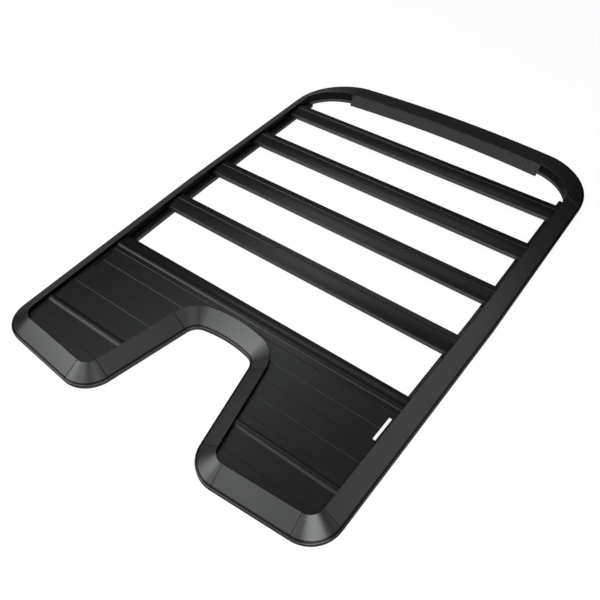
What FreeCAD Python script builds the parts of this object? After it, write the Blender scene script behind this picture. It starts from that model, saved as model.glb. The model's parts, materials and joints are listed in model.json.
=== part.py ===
import FreeCAD, Part
import math
import os

os.makedirs("parts", exist_ok=True)
V = FreeCAD.Vector
up = V(0, 0, 1)

# Plan of the rack: origin under the middle of its footprint, +Y towards the curved front
overallLength = 1926.0
kinkHalfWidth = 645.0        # half width where the side rails change direction
kinkSetback = 41.0           # from the origin back to that place
rearTaper = 0.033            # sideways run of a side rail per unit of length, behind the kink
frontTaper = 0.009           # the same ahead of the kink
frontCrownRadius = 4600.0
frontCornerReach = 209.0     # from the kink's half width in to where the front curve ends and its corner begins
frontBendRadius = 190.0
frontBendTurn = 18.0         # degrees
cornerSteps = 10             # sections along each front corner
endRailSlope = 0.075         # the rear end rails lean forward towards the outside
rearCornerRadius = 100.0
innerCornerRadius = 100.0
cutoutHalfWidth = 199.7      # where the two end rail lines would meet
cutoutSlope = 0.206          # sideways run of a cut-out rail per unit of length
cutoutDepth = 416.0          # from that meeting point to the arch
archCrownRadius = 420.0
archCornerRadius = 48.0

# Section of the frame: a hollow fairing, low outside and high inside, with an inner ledge
railWidth = 60.0
frontRailWidth = 131.0
railHeight = 49.0
lipHeight = 13.0
railWall = 2.5
ledgeWidth = 20.0
ledgeHeight = 14.0
jointGap = 0.6

# Crossbars: flat hollow bars with a long bead, crowned towards one edge
barWidth = 80.0
barHeight = 23.0
barWall = 2.2
barEdgeRadius = 4.0
barGrooveLevel = 6.0         # of the groove along each side, above the bar's underside
barGrooveHeight = 2.6
barGrooveDepth = 1.2
barCrownDrop = 5.0           # how far the crowned edge lies under the beaded one
beadInset = 26.0             # from the bar's plain edge to the middle of its bead
beadWidth = 8.0
beadHeight = 3.0
firstBarSetback = 62.4       # from the front corner joints to the first bar
lastBarExtra = 24.0          # how much wider the last gap between bars is than the others
barEndGap = 0.6
archBarGap = 0.8

# Deck planks behind the last bar
plankPitch = 118.0
plankHeight = 21.0
plankWall = 2.2
plankGap = 0.8
deckEdgeGap = 0.8
grooveWidth = 3.0
grooveDepth = 1.2
ribInset = 38.0              # from the third plank's front edge to the middle of its rib
ribWidth = 25.0
ribHeight = 5.0
slotLength = 85.0
slotWidth = 9.0
slotInset = 12.0             # from the deck's front edge
slotWallInset = 9.0          # from the rail's inner wall
ledgeNotch = 34.0            # how much longer the gap in the ledge under the slot is
spandrelTip = 5.0            # depth of the first plank at its narrow end beside the arch

# Leaning sheet behind the front rail
sheetThickness = 2.0
sheetHalfLength = 440.0
sheetTop = 46.0
sheetBottom = 6.0
sheetLean = 24.0
sheetGap = 0.9

# Holes in the floor of the side rails, for the studs of four feet
footHoleDiameter = 9.0
footHoleInset = 45.0         # from the kink's half width
footHoleY = 450.0

footHoleX = kinkHalfWidth - footHoleInset
frontBendX = kinkHalfWidth - frontCornerReach


def unit(x, y):
    length = math.hypot(x, y)
    return V(x / length, y / length, 0)


def left(direction):
    return V(-direction.y, direction.x, 0)


def rotated(v, degrees):
    c = math.cos(math.radians(degrees))
    s = math.sin(math.radians(degrees))
    return V(v.x * c - v.y * s, v.x * s + v.y * c, 0)


def turn(a, b):
    return math.degrees(math.atan2(a.x * b.y - a.y * b.x, a.x * b.x + a.y * b.y))


def crossing(p, d, q, e):
    s = ((q.x - p.x) * e.y - (q.y - p.y) * e.x) / (d.x * e.y - d.y * e.x)
    return p + d * s


def tangentLength(a, b, radius):
    return radius * math.tan(math.radians(abs(turn(a, b)) / 2))


def mirrored(shape):
    return shape.mirror(V(0, 0, 0), V(1, 0, 0))


# Directions along the right half's outer edge, with the inside of the frame on the left
cutoutDown = unit(cutoutSlope, -1)
endOut = unit(1, endRailSlope)
sideUp = unit(rearTaper, 1)
sideUpFront = unit(frontTaper, 1)
across = V(1, 0, 0)

# The end lines lie where the rearmost point, on the inner corner's bend, ends the overall length
innerTangent = tangentLength(cutoutDown, endOut, innerCornerRadius)
innerReach = crossing(V(cutoutHalfWidth, 0, 0), cutoutDown, V(0, 0, 0), endOut) + endOut * innerTangent
rearmost = (innerReach + left(endOut) * innerCornerRadius).y - innerCornerRadius
endPoint = V(0, -overallLength / 2 - rearmost, 0)
cutoutPoint = endPoint + V(cutoutHalfWidth, 0, 0)
kinkPoint = V(kinkHalfWidth, -kinkSetback, 0)
innerVertex = crossing(cutoutPoint, cutoutDown, endPoint, endOut)
outerVertex = crossing(kinkPoint, sideUp, endPoint, endOut)
outerTangent = tangentLength(endOut, sideUp, rearCornerRadius)
innerStart = innerVertex - cutoutDown * innerTangent
endStart = innerVertex + endOut * innerTangent
endStop = outerVertex - endOut * outerTangent
sideStart = outerVertex + sideUp * outerTangent

# The arch's corner touches both the arch's crown and the cut-out's side
archY = endPoint.y + cutoutDepth
crownCentre = V(0, archY - archCrownRadius, 0)
cutoutInward = left(cutoutDown)


def archCornerCentre():
    base = cutoutPoint - cutoutInward * archCornerRadius - crownCentre
    reach = archCrownRadius - archCornerRadius
    along = base.dot(cutoutDown)
    back = along + math.sqrt(along * along - base.dot(base) + reach * reach)
    return crownCentre + base - cutoutDown * back


archCentre = archCornerCentre()
archSideStart = archCentre + cutoutInward * archCornerRadius
crownOut = unit(archCentre.x - crownCentre.x, archCentre.y - crownCentre.y)
crownEnd = crownCentre + crownOut * archCrownRadius

# The front corner leaves the front curve by a short bend and follows one arc to the side rail
frontCentre = V(0, overallLength / 2 - frontCrownRadius, 0)
bendInward = unit(-frontBendX, -math.sqrt(frontCrownRadius ** 2 - frontBendX ** 2))
bendStart = frontCentre - bendInward * frontCrownRadius
bendCentre = bendStart + bendInward * frontBendRadius
arcInward = rotated(bendInward, -frontBendTurn)
arcStart = bendCentre - arcInward * frontBendRadius
sideInward = left(sideUpFront)
arcRadius = (arcStart - kinkPoint).dot(sideInward) / (1 - arcInward.dot(sideInward))
arcCentre = arcStart + arcInward * arcRadius
frontJoint = arcCentre - sideInward * arcRadius
cornerTurn = -turn(bendInward, sideInward)

# The last bar stands against the arch, the others are spread between it and the front joints
lastBarY = archY + railWidth + archBarGap + barWidth
firstBarY = frontJoint.y - firstBarSetback
barPitch = (firstBarY - lastBarY - lastBarExtra) / 4
deckFront = lastBarY - barWidth - plankGap


def railInnerX(y):
    direction = sideUpFront if y > kinkPoint.y else sideUp
    inner = kinkPoint + left(direction) * railWidth
    return crossing(inner, direction, V(0, y, 0), across).x


def insetPolygon(points, wall):
    lines = []
    for i, p in enumerate(points):
        q = points[(i + 1) % len(points)]
        d = math.hypot(q[0] - p[0], q[1] - p[1])
        n = ((q[1] - p[1]) / d, -(q[0] - p[0]) / d)
        lines.append((V(p[0] + n[0] * wall, p[1] + n[1] * wall, 0), V(q[0] - p[0], q[1] - p[1], 0)))
    corners = [crossing(p, d, *lines[i - 1]) for i, (p, d) in enumerate(lines)]
    return [(c.x, c.y) for c in corners]


# Section points are (distance inwards from the outer edge, height)
def fairingOutline(width):
    return [(0, 0), (0, lipHeight), (width, railHeight), (width, 0)]


def ledgedOutline(width):
    reach = width + ledgeWidth
    lip = reach - railWall
    under = ledgeHeight - railWall
    return [(0, 0), (0, lipHeight), (width, railHeight), (width, ledgeHeight), (reach, ledgeHeight),
            (reach, 0), (lip, 0), (lip, under), (width, under), (width, 0)]


def shelvedOutline(width):
    # the arch's ledge is a plain shelf
    reach = width + ledgeWidth
    under = ledgeHeight - railWall
    return [(0, 0), (0, lipHeight), (width, railHeight), (width, ledgeHeight), (reach, ledgeHeight),
            (reach, under), (width, under), (width, 0)]


def boreOutline(width):
    return insetPolygon(fairingOutline(width), railWall)


def sectionWire(point, inward, outline):
    corners = [point + inward * s + up * z for s, z in outline]
    return Part.makePolygon(corners + corners[:1])


def hollowRun(start, stop, outline=ledgedOutline):
    direction = unit(stop.x - start.x, stop.y - start.y)
    inward = left(direction)
    body = Part.Face(sectionWire(start, inward, outline(railWidth))).extrude(stop - start)
    return body.cut(Part.Face(sectionWire(start, inward, boreOutline(railWidth))).extrude(stop - start))


def hollowBend(start, inward, centre, angle, outline=shelvedOutline, width=railWidth):
    body = Part.Face(sectionWire(start, inward, outline(width))).revolve(centre, up, angle)
    return body.cut(Part.Face(sectionWire(start, inward, boreOutline(width))).revolve(centre, up, angle))


def endRail():
    return hollowRun(endStart + endOut * jointGap, endStop - endOut * jointGap)


def cutoutRail():
    return hollowRun(archSideStart + cutoutDown * jointGap, innerStart - cutoutDown * jointGap)


def innerCorner():
    centre = innerStart + cutoutInward * innerCornerRadius
    return hollowBend(innerStart, cutoutInward, centre, turn(cutoutDown, endOut), fairingOutline)


def outerCorner():
    centre = endStop + left(endOut) * rearCornerRadius
    return hollowBend(endStop, left(endOut), centre, turn(endOut, sideUp), fairingOutline)


def cutoutArch():
    crown = hollowBend(crownEnd, crownOut, crownCentre, turn(crownOut, mirroredVector(crownOut)))
    bend = hollowBend(crownEnd, crownOut, archCentre, turn(crownOut, cutoutInward))
    return crown.fuse([bend, mirrored(bend)]).removeSplitter()


def mirroredVector(v):
    return V(-v.x, v.y, 0)


def sideRail():
    # two straight runs, mitred where the rail changes direction
    mitre = unit(sideUp.x + sideUpFront.x, sideUp.y + sideUpFront.y)
    start = sideStart + sideUp * jointGap
    stop = frontJoint - sideUpFront * jointGap
    rear = hollowRun(start, kinkPoint + sideUp * railWidth).cut(halfSpace(kinkPoint, mitre))
    front = hollowRun(kinkPoint - sideUpFront * railWidth, stop).cut(halfSpace(kinkPoint, mitre * -1))
    rail = rear.fuse(front).removeSplitter()
    for y in (-footHoleY, footHoleY):
        rail = rail.cut(Part.makeCylinder(footHoleDiameter / 2, 2 * railWall, V(footHoleX, y, -railWall / 2)))
    return rail.cut(ledgeGap())


def halfSpace(point, normal):
    side = Part.makeBox(overallLength, overallLength, 2 * railHeight, V(-overallLength / 2, 0, -railHeight / 2))
    side.rotate(V(0, 0, 0), up, turn(V(0, 1, 0), normal))
    side.translate(point)
    return side


def cornerStations():
    spread = frontRailWidth - railWidth
    stations = []
    for i in range(cornerSteps + 1):
        degrees = cornerTurn * i / cornerSteps
        inward = rotated(bendInward, -degrees)
        onBend = degrees < frontBendTurn
        centre, radius = (bendCentre, frontBendRadius) if onBend else (arcCentre, arcRadius)
        width = railWidth + spread * math.cos(math.radians(90 * degrees / cornerTurn))
        stations.append((centre - inward * radius, inward, width))
    return stations


def frontCorner():
    outer = [sectionWire(p, n, fairingOutline(w)) for p, n, w in cornerStations()]
    bore = [sectionWire(p, n, boreOutline(w)) for p, n, w in cornerStations()]
    return Part.makeLoft(outer, True).cut(Part.makeLoft(bore, True))


def frontRail():
    span = turn(bendInward, mirroredVector(bendInward)) * -1
    middle = hollowBend(bendStart, bendInward, frontCentre, abs(span), fairingOutline, frontRailWidth)
    corner = frontCorner()
    return middle.fuse([corner, mirrored(corner)]).removeSplitter()


def frontDeflector():
    back = frontCrownRadius - frontRailWidth - sheetGap
    half = math.degrees(math.asin(sheetHalfLength / back))
    outward = rotated(V(0, 1, 0), -half)
    outline = [(back, sheetTop), (back - sheetThickness, sheetTop),
               (back - sheetThickness - sheetLean, sheetBottom), (back - sheetLean, sheetBottom)]
    return Part.Face(sectionWire(frontCentre, outward, outline)).revolve(frontCentre, up, 2 * half)


def barProfile():
    # y runs from the plain edge at 0 to the crowned edge at -barWidth
    base = ledgeHeight
    top = base + barHeight
    low = top - barCrownDrop
    r = barEdgeRadius
    grooveLow = base + barGrooveLevel
    grooveTop = grooveLow + barGrooveHeight
    grooveMiddle = (grooveLow + grooveTop) / 2
    beadFront = V(0, beadWidth / 2 - beadInset, top)
    beadRear = V(0, -beadWidth / 2 - beadInset, top)
    crest = V(0, -beadInset, top + beadHeight)
    crownStop = V(0, r - barWidth, low)
    middle = (beadRear + crownStop) * 0.5 + V(0, 0, barCrownDrop / 4)
    edgeStop = V(0, -barWidth, low - r)
    knee = V(0, -barWidth + r * (1 - math.sqrt(0.5)), low - r * (1 - math.sqrt(0.5)))
    frontLow = V(0, 0, top - r)
    frontTop = V(0, -r, top)
    frontKnee = V(0, r * (math.sqrt(0.5) - 1), top + r * (math.sqrt(0.5) - 1))
    frontSide = [V(0, 0, base), V(0, 0, grooveLow), V(0, -barGrooveDepth, grooveMiddle), V(0, 0, grooveTop), frontLow]
    rearSide = [edgeStop] + [V(0, -barWidth - p.y, p.z) for p in reversed(frontSide[:-1])]
    return Part.Wire(
        Part.makePolygon(frontSide).Edges + [Part.Arc(frontLow, frontKnee, frontTop).toShape(),
        Part.makeLine(frontTop, beadFront), Part.Arc(beadFront, crest, beadRear).toShape(),
        Part.Arc(beadRear, middle, crownStop).toShape(), Part.Arc(crownStop, knee, edgeStop).toShape()]
        + Part.makePolygon(rearSide).Edges + [Part.makeLine(rearSide[-1], frontSide[0])])


def barBore():
    base = ledgeHeight
    top = base + barHeight
    points = [(0, base), (0, top - barEdgeRadius), (barEdgeRadius, top), (beadInset, top),
              (barWidth - barEdgeRadius, top - barCrownDrop), (barWidth, top - barCrownDrop - barEdgeRadius),
              (barWidth, base)]
    return Part.makePolygon([V(0, -s, z) for s, z in closed(insetPolygon(points, barWall))])


def closed(points):
    return points + points[:1]


def crossbar(frontY, turned):
    half = min(railInnerX(frontY), railInnerX(frontY - barWidth)) - barEndGap
    bar = Part.Face(barProfile()).cut(Part.Face(barBore())).extrude(V(2 * half, 0, 0))
    bar.translate(V(-half, 0, 0))
    if turned:
        bar = bar.mirror(V(0, 0, 0), V(0, 1, 0))
        bar.translate(V(0, -barWidth, 0))
    bar.translate(V(0, frontY, 0))
    return bar


def wallStrip(front, length, near, far):
    # a block along the right rail's inner wall, between two distances from it
    wall = kinkPoint + left(sideUp) * railWidth
    inward = left(sideUp)
    start = crossing(wall, sideUp, V(0, front - length, 0), across)
    stop = crossing(wall, sideUp, V(0, front, 0), across)
    plan = [start + inward * near, stop + inward * near, stop + inward * far, start + inward * far]
    return Part.Face(Part.makePolygon(closed(plan))).extrude(up * railHeight)


def deckSlot():
    return wallStrip(deckFront - slotInset, slotLength, slotWallInset, slotWallInset + slotWidth)


def ledgeGap():
    # the ledge stops under the slot, so that a strap passes
    return wallStrip(deckFront - slotInset + ledgeNotch, slotLength + ledgeNotch, 0, 2 * ledgeWidth)


def roundedBlock(points, radii):
    edges = []
    cuts = []
    for i, (p, radius) in enumerate(zip(points, radii)):
        before = unit(p.x - points[i - 1].x, p.y - points[i - 1].y)
        after = points[(i + 1) % len(points)] - p
        after = unit(after.x, after.y)
        reach = tangentLength(before, after, radius)
        start = p - before * reach
        stop = p + after * reach
        if radius > 0:
            middle = unit(after.x - before.x, after.y - before.y)
            bow = math.hypot(radius, reach) - radius
            edges.append(Part.Arc(start, p + middle * bow, stop).toShape())
        cuts.append((start, stop))
    for i, (start, stop) in enumerate(cuts):
        edges.append(Part.makeLine(stop, cuts[(i + 1) % len(cuts)][0]))
    return Part.Face(Part.Wire(Part.__sortEdges__(edges))).extrude(up * 2 * railHeight)


def lobeBlock():
    gap = railWidth + deckEdgeGap
    sideLine = kinkPoint + left(sideUp) * gap
    endLine = endPoint + left(endOut) * gap
    cutLine = cutoutPoint + cutoutInward * gap
    top = V(0, deckFront, 0)
    bend = V(0, archCentre.y, 0)
    outerCrown = archCrownRadius + gap
    tip = math.sqrt(outerCrown ** 2 - (deckFront - spandrelTip - crownCentre.y) ** 2)
    corners = [crossing(sideLine, sideUp, top, across), top + across * tip, bend + across * tip,
               crossing(cutLine, cutoutDown, bend, across), crossing(cutLine, cutoutDown, endLine, endOut),
               crossing(sideLine, sideUp, endLine, endOut)]
    return roundedBlock(corners, [0, 0, 0, 0, innerCornerRadius - gap, rearCornerRadius - gap])


def archBlock():
    gap = railWidth + deckEdgeGap
    tall = 2 * railHeight
    crown = Part.makeCylinder(archCrownRadius + gap, tall, crownCentre, up)
    front = Part.makeBox(2 * crownEnd.x, cutoutDepth, tall, V(-crownEnd.x, archCentre.y, 0))
    corner = Part.makeCylinder(archCornerRadius + gap, tall, archCentre, up)
    return crown.common(front).fuse([corner, mirrored(corner)])


def plankProfile(number):
    base = ledgeHeight
    top = base + plankHeight
    front = deckFront - (number - 1) * plankPitch
    rear = front - plankPitch + plankGap
    wall = plankWall
    outline = [(front, base), (front, top), (rear, top), (rear, base), (rear + wall, base),
               (rear + wall, top - wall), (front - wall, top - wall), (front - wall, base)]
    return Part.Face(Part.makePolygon([V(0, y, z) for y, z in closed(outline)]))


def deckPlank(number):
    top = ledgeHeight + plankHeight
    front = deckFront - (number - 1) * plankPitch
    run = V(kinkHalfWidth, 0, 0)
    plank = plankProfile(number).extrude(run)
    if number < 3:
        y = front - plankPitch / 2
        groove = [(y + grooveWidth / 2, top), (y, top - grooveDepth), (y - grooveWidth / 2, top)]
        plank = plank.cut(Part.Face(Part.makePolygon([V(0, a, z) for a, z in closed(groove)])).extrude(run))
    if number == 3:
        y = front - ribInset
        feet = [V(0, y + ribWidth / 2, top), V(0, y - ribWidth / 2, top)]
        arc = Part.Arc(feet[0], V(0, y, top + ribHeight), feet[1]).toShape()
        rib = Part.Face(Part.Wire([arc, Part.makeLine(feet[1], feet[0])])).extrude(run)
        plank = plank.fuse(rib).removeSplitter()
    plank = plank.common(lobeBlock()).cut(archBlock())
    return plank.cut(deckSlot()) if number == 1 else plank


def save(name, shape):
    solids = shape.Solids
    print(name, len(solids), round(shape.Volume / 1000, 1), shape.isValid())
    solids[0].exportStep("parts/" + name + ".step")


def savePair(name, shape):
    save(name.replace("SIDE", "right"), shape)
    save(name.replace("SIDE", "left"), mirrored(shape))


def main():
    save("front_rail", frontRail())
    save("front_deflector", frontDeflector())
    savePair("SIDE_side_rail", sideRail())
    savePair("rear_SIDE_outer_corner", outerCorner())
    savePair("rear_SIDE_end_rail", endRail())
    savePair("rear_SIDE_inner_corner", innerCorner())
    savePair("cutout_SIDE_rail", cutoutRail())
    save("cutout_arch", cutoutArch())
    for i in range(4):
        save("crossbar_%d" % (i + 1), crossbar(firstBarY - i * barPitch, False))
    save("crossbar_5", crossbar(lastBarY, True))
    for number in (1, 2, 3, 4):
        savePair("deck_SIDE_plank_%d" % number, deckPlank(number))


main()
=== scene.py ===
import bpy, bmesh, json, math
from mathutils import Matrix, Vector
from mathutils.bvhtree import BVHTree


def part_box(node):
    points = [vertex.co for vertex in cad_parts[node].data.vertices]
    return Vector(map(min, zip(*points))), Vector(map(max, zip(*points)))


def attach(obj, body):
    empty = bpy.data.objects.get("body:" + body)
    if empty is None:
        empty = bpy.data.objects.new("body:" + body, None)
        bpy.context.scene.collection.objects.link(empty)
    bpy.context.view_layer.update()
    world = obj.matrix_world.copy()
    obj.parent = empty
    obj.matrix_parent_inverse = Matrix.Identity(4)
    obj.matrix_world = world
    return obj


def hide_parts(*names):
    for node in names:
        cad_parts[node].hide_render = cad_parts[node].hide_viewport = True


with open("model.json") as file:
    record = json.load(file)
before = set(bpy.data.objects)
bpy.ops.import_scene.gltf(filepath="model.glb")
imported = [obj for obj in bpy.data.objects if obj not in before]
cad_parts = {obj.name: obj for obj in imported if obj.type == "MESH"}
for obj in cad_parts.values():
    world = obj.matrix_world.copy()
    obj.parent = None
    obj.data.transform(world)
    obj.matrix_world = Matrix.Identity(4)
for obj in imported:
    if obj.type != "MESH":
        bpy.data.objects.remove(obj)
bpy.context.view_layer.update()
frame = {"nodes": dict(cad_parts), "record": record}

scene = bpy.context.scene
scene.view_settings.view_transform = "Standard"

# the camera, at the photo's viewing angle
view = {"target": (0.078057, -0.293091, 0), "azimuth": 36.464, "elevation": 47.938, "distance": 2.074267,
        "lens": 38.0587, "sensor": 36}


def placeCamera():
    az, el = math.radians(view["azimuth"]), math.radians(view["elevation"])
    back = Vector((math.sin(az) * math.cos(el), -math.cos(az) * math.cos(el), math.sin(el)))
    data = bpy.data.cameras.new("camera")
    data.lens, data.sensor_width = view["lens"], view["sensor"]
    camera = bpy.data.objects.new("camera", data)
    camera.location = Vector(view["target"]) + back * view["distance"]
    camera.rotation_euler = (-back).to_track_quat("-Z", "Y").to_euler()
    scene.collection.objects.link(camera)
    scene.camera = camera


placeCamera()
print("camera placed")


class Wire:  # one output socket in a node tree, with operators that add Math nodes
    def __init__(self, tree, socket):
        self.tree, self.socket = tree, socket

    def math(self, operation, first, second):
        return self.tree.add("ShaderNodeMath", {"operation": operation}, {0: first, 1: second})

    def __add__(self, other): return self.math("ADD", self, other)
    def __radd__(self, other): return self.math("ADD", other, self)
    def __sub__(self, other): return self.math("SUBTRACT", self, other)
    def __rsub__(self, other): return self.math("SUBTRACT", other, self)
    def __mul__(self, other): return self.math("MULTIPLY", self, other)
    def __rmul__(self, other): return self.math("MULTIPLY", other, self)
    def __abs__(self): return self.tree.add("ShaderNodeMath", {"operation": "ABSOLUTE"}, {0: self})


class Recipe:  # a node tree that is filled by add()
    def __init__(self, tree):
        self.tree = tree
        tree.nodes.clear()

    def add(self, kind, settings=None, sockets=None, out=0):
        node = self.tree.nodes.new(kind)
        for name, value in (settings or {}).items():
            setattr(node, name, value)
        for name, value in (sockets or {}).items():
            if isinstance(value, (Wire, list)):
                for wire in value if isinstance(value, list) else [value]:
                    self.tree.links.new(wire.socket, node.inputs[name])
            else:
                node.inputs[name].default_value = value
        return Wire(self, node.outputs[out]) if len(node.outputs) else node

    def blend(self, factor, first, second):  # colours
        return self.add("ShaderNodeMix", {"data_type": "RGBA"}, {0: factor, 6: first, 7: second}, out=2)

    def noise(self, place, scale, detail, roughness=0.5):
        return self.add("ShaderNodeTexNoise", {"noise_dimensions": "3D"},
                        {"Vector": place, "Scale": scale, "Detail": detail, "Roughness": roughness})

    def fade(self, value, low, high, first, last):  # from first to last while the value goes from low to high
        return self.add("ShaderNodeMapRange", {"clamp": True}, {0: value, 1: low, 2: high, 3: first, 4: last})

    def level(self, vector):  # its Z
        return self.add("ShaderNodeSeparateXYZ", {}, {0: vector}, out="Z")


def grey(value):
    return (value, value, value, 1)


def newMaterial(name):
    material = bpy.data.materials.new(name)
    material.use_nodes = True
    return material, Recipe(material.node_tree)


# what each coat looks like; lengths in metres
frameCoat = {"dark": (0.0285, 0.0294, 0.0293, 1), "pale": (0.0385, 0.0396, 0.0394, 1),
             "roughness": 0.30, "spread": 0.08, "metal": 0.85, "edgeTint": 0.06,
             "peelSize": 0.0022, "peelDepth": 0.00005, "mottleSize": 0.013, "mottleDepth": 0.0002,
             # rounded edges are worn paler in patches, with a painted sheen
             "dust": 0.03, "rubAndSheenTone": 0.05, "rubAndSheenShare": 0.12, "drawn": 0.0,
             # the lip is painted paler, as painted light
             "lipSeam": 0.0158, "seamHalf": 0.0016, "lipPaintedLight": (0.052, 0.053, 0.052, 1),
             # upright faces of the rails are painted dark, as painted shade
             "wallLightAndShade": (0.008, 0.008, 0.008, 1)}
barCoat = dict(frameCoat, dark=(0.0153, 0.0159, 0.0157, 1), pale=(0.0212, 0.0220, 0.0218, 1),
               # upright faces of the bars and the sheet are painted paler, as painted light
               roughness=0.29, metal=0.8, drawn=0.12, lipSeam=None, wallLightAndShade=(0.075, 0.076, 0.075, 1))
deckCoat = dict(barCoat, dark=(0.0172, 0.0180, 0.0178, 1), pale=(0.0241, 0.0252, 0.0249, 1),
                # upright faces of the deck are painted dark, as painted shade
                roughness=0.34, wallLightAndShade=(0.018, 0.0185, 0.0185, 1))
sheetCoat = dict(barCoat, dark=(0.0232, 0.0247, 0.0236, 1), pale=(0.0304, 0.0323, 0.0308, 1),
                 # the sheet's rounded edges are painted much paler: a painted highlight along its edges
                 roughness=0.62, metal=0.1, peelSize=0.0014, peelDepth=0.00008, rubAndSheenTone=0.11, rubAndSheenShare=0.9, drawn=0.0)
# what the coats share: noises by scale and detail, or by detail and roughness where the coat gives their size
powder = {"broad": (3.2, 3.0), "cloud": (26.0, 4.0), "dieLines": (1.0, 3.0), "dieLineStretch": (3.0, 420.0, 420.0),
          "peelGrain": (2.0, 0.55), "mottleGrain": (2.0, 0.6), "speckScale": 2.4, "speckDetail": 1.0,
          "noiseMiddle": 0.5, "broadShare": 0.55, "speckShare": 0.2, "dieLineShare": 0.3, "peelSpread": 0.6,
          "dustFrom": 0.70, "dustTo": 0.80, "dustTone": 0.10, "uprightFrom": 0.15, "uprightTo": 0.45,
          # the groove above the lip is a bump, painted near-black as its shade
          "seamFade": 0.3, "grooveShadeShare": 0.9, "grooveShadeTone": 0.004, "seamDepth": 6.0,
          "rubFrom": 0.42, "rubTo": 0.66, "rubGloss": 0.05, "mottleBump": 0.5, "peelBump": 0.6}


def coatMaterial(name, coat, edge=False):
    material, tree = newMaterial(name)
    place = tree.add("ShaderNodeTexCoord", out="Object")
    # broad unevenness of the powder, then its fine skin
    broad = tree.noise(place, *powder["broad"])
    cloud = tree.noise(place, *powder["cloud"])
    skin = tree.noise(place, 1 / coat["peelSize"], *powder["peelGrain"])
    speck = tree.noise(place, powder["speckScale"] / coat["peelSize"], powder["speckDetail"])
    tone = broad * powder["broadShare"] + cloud * (1 - powder["broadShare"])
    height = skin * (1 - powder["speckShare"]) + speck * powder["speckShare"]
    if coat["drawn"]:
        # die lines along the extrusion, which lies along X
        stretched = tree.add("ShaderNodeMapping", {}, {"Vector": place, "Scale": powder["dieLineStretch"]})
        lines = tree.noise(stretched, *powder["dieLines"])
        tone = tone * (1 - powder["dieLineShare"]) + lines * powder["dieLineShare"]
        height = height * (1 - coat["drawn"]) + lines * coat["drawn"]
    colour = tree.blend(tone, coat["dark"], coat["pale"])
    # a few pale specks of dust that studio light picks out
    dusty = tree.fade(speck, powder["dustFrom"], powder["dustTo"], 0.0, coat["dust"])
    colour = tree.blend(dusty, colour, grey(powder["dustTone"]))
    # upright faces get a painted tone of their own: painted shade on the rails and the deck, painted light on the
    # sides of the bars and the sheet
    facing = abs(tree.level(tree.add("ShaderNodeTexCoord", out="Normal")))
    uprightPainted = tree.fade(facing, powder["uprightFrom"], powder["uprightTo"], 1.0, 0.0)
    colour = tree.blend(uprightPainted, colour, coat["wallLightAndShade"])
    if coat["lipSeam"]:
        # a groove runs round the rails above their lip, painted near-black as its shade, and the lip below it is
        # painted paler, as painted light
        level = tree.level(place)
        below = tree.fade(level, coat["lipSeam"] - coat["seamHalf"], coat["lipSeam"], 1.0, 0.0)
        colour = tree.blend(below, colour, coat["lipPaintedLight"])
        # the groove: a bump, and its painted shade
        grooveAndShade = tree.fade(abs(level - coat["lipSeam"]), coat["seamHalf"] * (1 - powder["seamFade"]),
                         coat["seamHalf"] * (1 + powder["seamFade"]), 1.0, 0.0)
        colour = tree.blend(grooveAndShade * powder["grooveShadeShare"], colour, grey(powder["grooveShadeTone"]))
        height = height - grooveAndShade * powder["seamDepth"]
    uneven, grainy = cloud - powder["noiseMiddle"], skin - powder["noiseMiddle"]
    rough = uneven * coat["spread"] + grainy * (coat["spread"] * powder["peelSpread"]) + coat["roughness"]
    if edge:
        # rounded edges: paler and smoother in patches, partly wear and partly a painted sheen
        rubbedAndSheen = tree.fade(cloud, powder["rubFrom"], powder["rubTo"], 0.0, 1.0)
        colour = tree.blend(rubbedAndSheen * coat["rubAndSheenShare"], colour, grey(coat["rubAndSheenTone"]))
        rough = rough - rubbedAndSheen * powder["rubGloss"]
    mottle = tree.noise(place, 1 / coat["mottleSize"], *powder["mottleGrain"])
    wavy = tree.add("ShaderNodeBump", {}, {"Strength": powder["mottleBump"], "Distance": coat["mottleDepth"],
                                           "Height": mottle})
    bump = tree.add("ShaderNodeBump", {}, {"Strength": powder["peelBump"], "Distance": coat["peelDepth"],
                                           "Height": height, "Normal": wavy})
    shader = tree.add("ShaderNodeBsdfPrincipled", {},
                      {"Base Color": colour, "Roughness": rough, "Normal": bump, "Metallic": coat["metal"],
                       "Specular Tint": grey(coat["edgeTint"])})
    tree.add("ShaderNodeOutputMaterial", {}, {"Surface": shader})
    return material


rivetSteel = {"dark": (0.004, 0.004, 0.0042, 1), "pale": (0.010, 0.010, 0.0104, 1), "roughness": 0.5, "spread": 0.2,
              "metal": 0.6, "edgeTint": 0.2, "stain": (240.0, 4.0), "grain": (1800.0, 2.0), "grainBump": 0.4,
              "grainDepth": 0.00003}


def rivetMaterial():
    material, tree = newMaterial("blackenedSteel")
    place = tree.add("ShaderNodeTexCoord", out="Object")
    stain = tree.noise(place, *rivetSteel["stain"])
    grain = tree.noise(place, *rivetSteel["grain"])
    colour = tree.blend(stain, rivetSteel["dark"], rivetSteel["pale"])
    rough = (stain - powder["noiseMiddle"]) * rivetSteel["spread"] + rivetSteel["roughness"]
    bump = tree.add("ShaderNodeBump", {}, {"Strength": rivetSteel["grainBump"], "Distance": rivetSteel["grainDepth"],
                                           "Height": grain})
    shader = tree.add("ShaderNodeBsdfPrincipled", {},
                      {"Base Color": colour, "Metallic": rivetSteel["metal"], "Roughness": rough, "Normal": bump,
                       "Specular Tint": grey(rivetSteel["edgeTint"])})
    tree.add("ShaderNodeOutputMaterial", {}, {"Surface": shader})
    return material


def coatPair(name, coat):  # for the faces, and for the rounded edges
    return coatMaterial(name, coat), coatMaterial(name + "Edge", coat, True)


finishes = {"frame_coat": coatPair("frameCoat", frameCoat), "bar_coat": coatPair("barCoat", barCoat),
            "deck_coat": coatPair("deckCoat", deckCoat), "sheet_coat": coatPair("sheetCoat", sheetCoat)}
steel = rivetMaterial()
print("finishes made")

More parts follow.
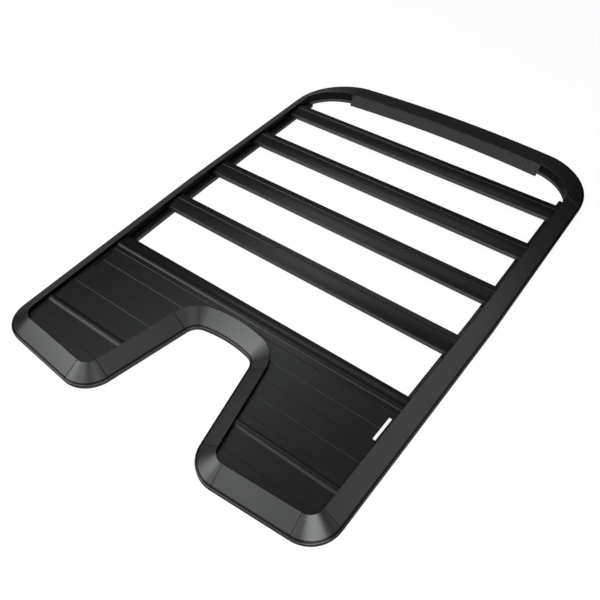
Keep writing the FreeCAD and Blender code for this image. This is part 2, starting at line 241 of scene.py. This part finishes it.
# the bar beside the deck has a broader ridge in place of its bead; distances from its plain rear edge
broadRidge = {"bar": "crossbar_5", "beadMiddle": 0.026, "beadHalf": 0.004, "beadRise": 0.003, "middle": 0.0285,
              "steep": 0.0095, "gentle": 0.022, "rise": 0.0045, "crownStop": 0.076, "crownDrop": 0.005,
              "topDepth": 0.0005, "slack": 1.001}


def raiseRidge(shape, low, high):  # steep towards the deck, gentle towards the other bars
    r = broadRidge
    flat = high.z - r["beadRise"]
    beadStop, ridgeStop = r["beadMiddle"] + r["beadHalf"], r["middle"] + r["gentle"]
    radius = (r["steep"] ** 2 + r["rise"] ** 2) / (2 * r["rise"])
    crownLength = r["crownStop"] - beadStop
    for point in shape.verts:
        place = point.co.y - low.y
        offset = (place - r["beadMiddle"]) / r["beadHalf"]
        chord = flat - r["crownDrop"] * max(0, place - beadStop) / crownLength
        if point.co.z < chord - r["topDepth"] or place > r["crownStop"]:
            continue  # in the bore, on the sides or below
        if abs(offset) < r["slack"]:
            offset = max(-1, min(1, offset))
            across = offset * (r["gentle"] if offset > 0 else r["steep"])
            point.co.y = low.y + r["middle"] + across
            if offset > 0:
                point.co.z = flat + r["rise"] * (1 + math.cos(math.pi * offset)) / 2
            else:
                point.co.z = flat + math.sqrt(radius ** 2 - across ** 2) - radius + r["rise"]
        elif offset > 1:
            point.co.y = low.y + ridgeStop + (place - beadStop) / crownLength * (r["crownStop"] - ridgeStop)


# how far each kind of piece is rounded along its edges; angles in degrees
edgeRound = {"frame_coat": 0.0012, "bar_coat": 0.0005, "deck_coat": 0.00022, "sheet_coat": 0.0005}
edgeShape = {"limit": 24, "segments": 3, "weld": 0.000004, "flat": 0.25, "faceWeight": 100}


def plainMesh(piece):  # the evaluated result as a mesh of its own
    bpy.context.view_layer.update()
    result = bpy.data.meshes.new_from_object(piece.evaluated_get(bpy.context.evaluated_depsgraph_get()))
    piece.modifiers.clear()
    piece.data = result


def dressed(node, slot):
    mesh = bpy.data.meshes.new(node + "_skin")
    shape = bmesh.new()
    shape.from_mesh(frame["nodes"][node].data)
    bmesh.ops.remove_doubles(shape, verts=shape.verts, dist=edgeShape["weld"])
    bmesh.ops.dissolve_limit(shape, angle_limit=math.radians(edgeShape["flat"]), verts=shape.verts, edges=shape.edges)
    if node == broadRidge["bar"]:
        raiseRidge(shape, *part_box(node))
    shape.to_mesh(mesh)
    shape.free()
    for layer in ("custom_normal", "sharp_edge", "sharp_face"):
        if layer in mesh.attributes:
            mesh.attributes.remove(mesh.attributes[layer])
    piece = bpy.data.objects.new(node + "_skin", mesh)
    scene.collection.objects.link(piece)
    mesh.materials.clear()
    for material in finishes[slot]:
        mesh.materials.append(material)
    for face in mesh.polygons:
        face.material_index = 0
        face.use_smooth = True
    bevel = piece.modifiers.new("edges", "BEVEL")
    bevel.width, bevel.segments = edgeRound[slot], edgeShape["segments"]
    bevel.limit_method, bevel.angle_limit = "ANGLE", math.radians(edgeShape["limit"])
    bevel.use_clamp_overlap = False
    bevel.material = 1  # the edge finish
    even = piece.modifiers.new("normals", "WEIGHTED_NORMAL")
    even.mode, even.weight = "FACE_AREA", edgeShape["faceWeight"]
    plainMesh(piece)
    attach(piece, "root")
    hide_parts(node)


subparts = frame["record"]["subparts"]
for row in subparts:
    dressed(row["node"], row["material_slot"])
print("pieces dressed:", len(subparts))

# two blind rivets hold the sheet near each of its ends
rivets = {"fromEnd": (0.047, 0.073), "down": 0.27, "sink": 0.0005, "startBehind": 0.1,
          "ringSteps": 20, "ringSides": 10, "pinSides": 14}
rivetSizes = {"Ring Radius": 0.0019, "Ring Half Width": 0.0013, "Pin Radius": 0.0011, "Pin Height": 0.0008}


def rivetTree():
    group = bpy.data.node_groups.new("rivetPairs", "GeometryNodeTree")
    group.interface.new_socket("Geometry", in_out="INPUT", socket_type="NodeSocketGeometry")
    for label in rivetSizes:
        group.interface.new_socket(label, in_out="INPUT", socket_type="NodeSocketFloat")
    group.interface.new_socket("Geometry", in_out="OUTPUT", socket_type="NodeSocketGeometry")
    tree = Recipe(group)
    given = {label: tree.add("NodeGroupInput", out=label) for label in ("Geometry", *rivetSizes)}
    path = tree.add("GeometryNodeCurvePrimitiveCircle", {},
                    {"Resolution": rivets["ringSteps"], "Radius": given["Ring Radius"]})
    section = tree.add("GeometryNodeCurvePrimitiveCircle", {},
                       {"Resolution": rivets["ringSides"], "Radius": given["Ring Half Width"]})
    ring = tree.add("GeometryNodeCurveToMesh", {}, {"Curve": path, "Profile Curve": section})
    pin = tree.add("GeometryNodeMeshCylinder", {},
                   {"Vertices": rivets["pinSides"], "Radius": given["Pin Radius"], "Depth": given["Pin Height"]})
    head = tree.add("GeometryNodeJoinGeometry", {}, {0: [ring, pin]})
    facing = tree.add("GeometryNodeInputNamedAttribute", {"data_type": "FLOAT_VECTOR"}, {"Name": "facing"})
    turned = tree.add("FunctionNodeAlignRotationToVector", {"axis": "Z"}, {"Vector": facing})
    heads = tree.add("GeometryNodeInstanceOnPoints", {},
                     {"Points": given["Geometry"], "Instance": head, "Rotation": turned})
    solid = tree.add("GeometryNodeRealizeInstances", {}, {0: heads})
    soft = tree.add("GeometryNodeSetShadeSmooth", {}, {"Geometry": solid})
    done = tree.add("GeometryNodeSetMaterial", {}, {"Geometry": soft, "Material": steel})
    tree.add("NodeGroupOutput", {}, {0: done})
    return group


def rivetSheet(node):
    sheet = frame["nodes"][node].data
    low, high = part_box(node)
    sheetFaces = BVHTree.FromPolygons([v.co for v in sheet.vertices], [list(f.vertices) for f in sheet.polygons])
    behind, row = low.y - rivets["startBehind"], high.z - rivets["down"] * (high.z - low.z)
    spots, facings = [], []
    for side in (-1, 1):
        for inset in rivets["fromEnd"]:
            start = Vector((side * (high.x - inset), behind, row))
            spot, normal = sheetFaces.ray_cast(start, Vector((0, 1, 0)))[:2]
            spots.append(spot - normal * rivets["sink"])
            facings.append(normal)
    mesh = bpy.data.meshes.new("sheet_rivets")
    mesh.from_pydata(spots, [], [])
    facing = mesh.attributes.new("facing", "FLOAT_VECTOR", "POINT")
    facing.data.foreach_set("vector", [part for normal in facings for part in normal])
    piece = bpy.data.objects.new("sheet_rivets", mesh)
    scene.collection.objects.link(piece)
    maker = piece.modifiers.new("rivets", "NODES")
    maker.node_group = rivetTree()
    for socket in maker.node_group.interface.items_tree:
        if socket.name in rivetSizes:
            maker[socket.identifier] = rivetSizes[socket.name]
    plainMesh(piece)
    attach(piece, "root")


rivetSheet("front_deflector")
print("rivets set")

# a white sweep
studio = {"floorHalf": 30.0, "floorLevel": -0.0004, "floorColour": 0.9, "glow": 0.92, "world": 0.1}


def floorMaterial():
    material, tree = newMaterial("paperSweep")
    rays = ("Is Camera Ray", "Is Glossy Ray", "Is Transmission Ray")
    seen = [tree.add("ShaderNodeLightPath", out=ray) for ray in rays]
    shown = tree.add("ShaderNodeMath", {"operation": "MAXIMUM"}, {0: seen[0], 1: seen[1]})
    shown = tree.add("ShaderNodeMath", {"operation": "MAXIMUM"}, {0: shown, 1: seen[2]})
    paper = tree.add("ShaderNodeBsdfDiffuse", {}, {"Color": grey(studio["floorColour"])})
    white = tree.add("ShaderNodeEmission", {}, {"Color": grey(1.0), "Strength": 1.0})
    mixed = tree.add("ShaderNodeMixShader", {}, {0: shown * studio["glow"], 1: paper, 2: white})
    tree.add("ShaderNodeOutputMaterial", {}, {"Surface": mixed})
    return material


def layFloor():
    half, level = studio["floorHalf"], studio["floorLevel"]
    corners = [(-half, -half, level), (half, -half, level), (half, half, level), (-half, half, level)]
    mesh = bpy.data.meshes.new("floor")
    mesh.from_pydata(corners, [], [(0, 1, 2, 3)])
    mesh.materials.append(floorMaterial())
    floor = bpy.data.objects.new("floor", mesh)
    scene.collection.objects.link(floor)


# large boxes behind at the left and the right, and weak ones round about and above
softBoxes = {
    "keyBox": {"centre": (-1.8, -2.25, 1.78), "aim": (-0.1, -0.8, 0.0), "wide": 1.6, "deep": 1.1, "power": 46.0},
    "leftBox": {"centre": (-2.3, -1.2, 1.7), "aim": (0.1, -0.6, 0.0), "wide": 1.2, "deep": 1.2, "power": 15.0},
    "archBox": {"centre": (-0.95, -2.0, 2.35), "aim": (-0.05, -0.6, 0.0), "wide": 1.8, "deep": 0.9, "power": 19.0},
    "cornerBox": {"centre": (1.85, -2.06, 2.07), "aim": (0.5, -0.85, 0.0), "wide": 1.9, "deep": 0.9, "power": 66.0},
    "cornerTop": {"centre": (0.62, -1.45, 2.4), "aim": (0.1, -0.8, 0.0), "wide": 0.9, "deep": 0.9, "power": 8.0},
    "rearBox": {"centre": (-0.1, -2.85, 1.95), "aim": (0.3, -0.8, 0.0), "wide": 1.6, "deep": 0.9, "power": 13.0},
    "sideTop": {"centre": (1.0, -0.35, 2.4), "aim": (0.0, -0.7, 0.0), "wide": 1.0, "deep": 1.0, "power": 5.0},
    "rightBox": {"centre": (2.5, 0.95, 1.65), "aim": (0.6, -0.2, 0.0), "wide": 2.6, "deep": 1.0, "power": 16.0},
    "leftLow": {"centre": (-2.8, 0.0, 0.45), "aim": (0.1, -0.6, 0.0), "wide": 1.0, "deep": 0.8, "power": 5.5},
    "aheadLow": {"centre": (-1.4, 2.3, 1.2), "aim": (0.0, -0.3, 0.0), "wide": 1.6, "deep": 0.6, "power": 5.0},
    "barTop": {"centre": (-0.8, 1.65, 2.4), "aim": (0.2, -0.1, 0.0), "wide": 1.7, "deep": 0.7, "power": 9.0},
    "topBox": {"centre": (-1.45, -0.2, 2.4), "aim": (-0.3, -0.4, 0.0), "wide": 3.6, "deep": 1.0, "power": 26.0}}


def hangLight(name, box):
    data = bpy.data.lights.new(name, "AREA")
    data.shape, data.size, data.size_y, data.energy = "RECTANGLE", box["wide"], box["deep"], box["power"]
    light = bpy.data.objects.new(name, data)
    light.location = box["centre"]
    light.rotation_euler = (Vector(box["aim"]) - Vector(box["centre"])).to_track_quat("-Z", "Y").to_euler()
    scene.collection.objects.link(light)


layFloor()
for boxName, box in softBoxes.items():
    hangLight(boxName, box)
world = bpy.data.worlds.new("studio")
scene.world = world
world.use_nodes = True
room = Recipe(world.node_tree)
air = room.add("ShaderNodeBackground", {}, {"Color": grey(1.0), "Strength": studio["world"]})
room.add("ShaderNodeOutputWorld", {}, {"Surface": air})
print("studio lit")
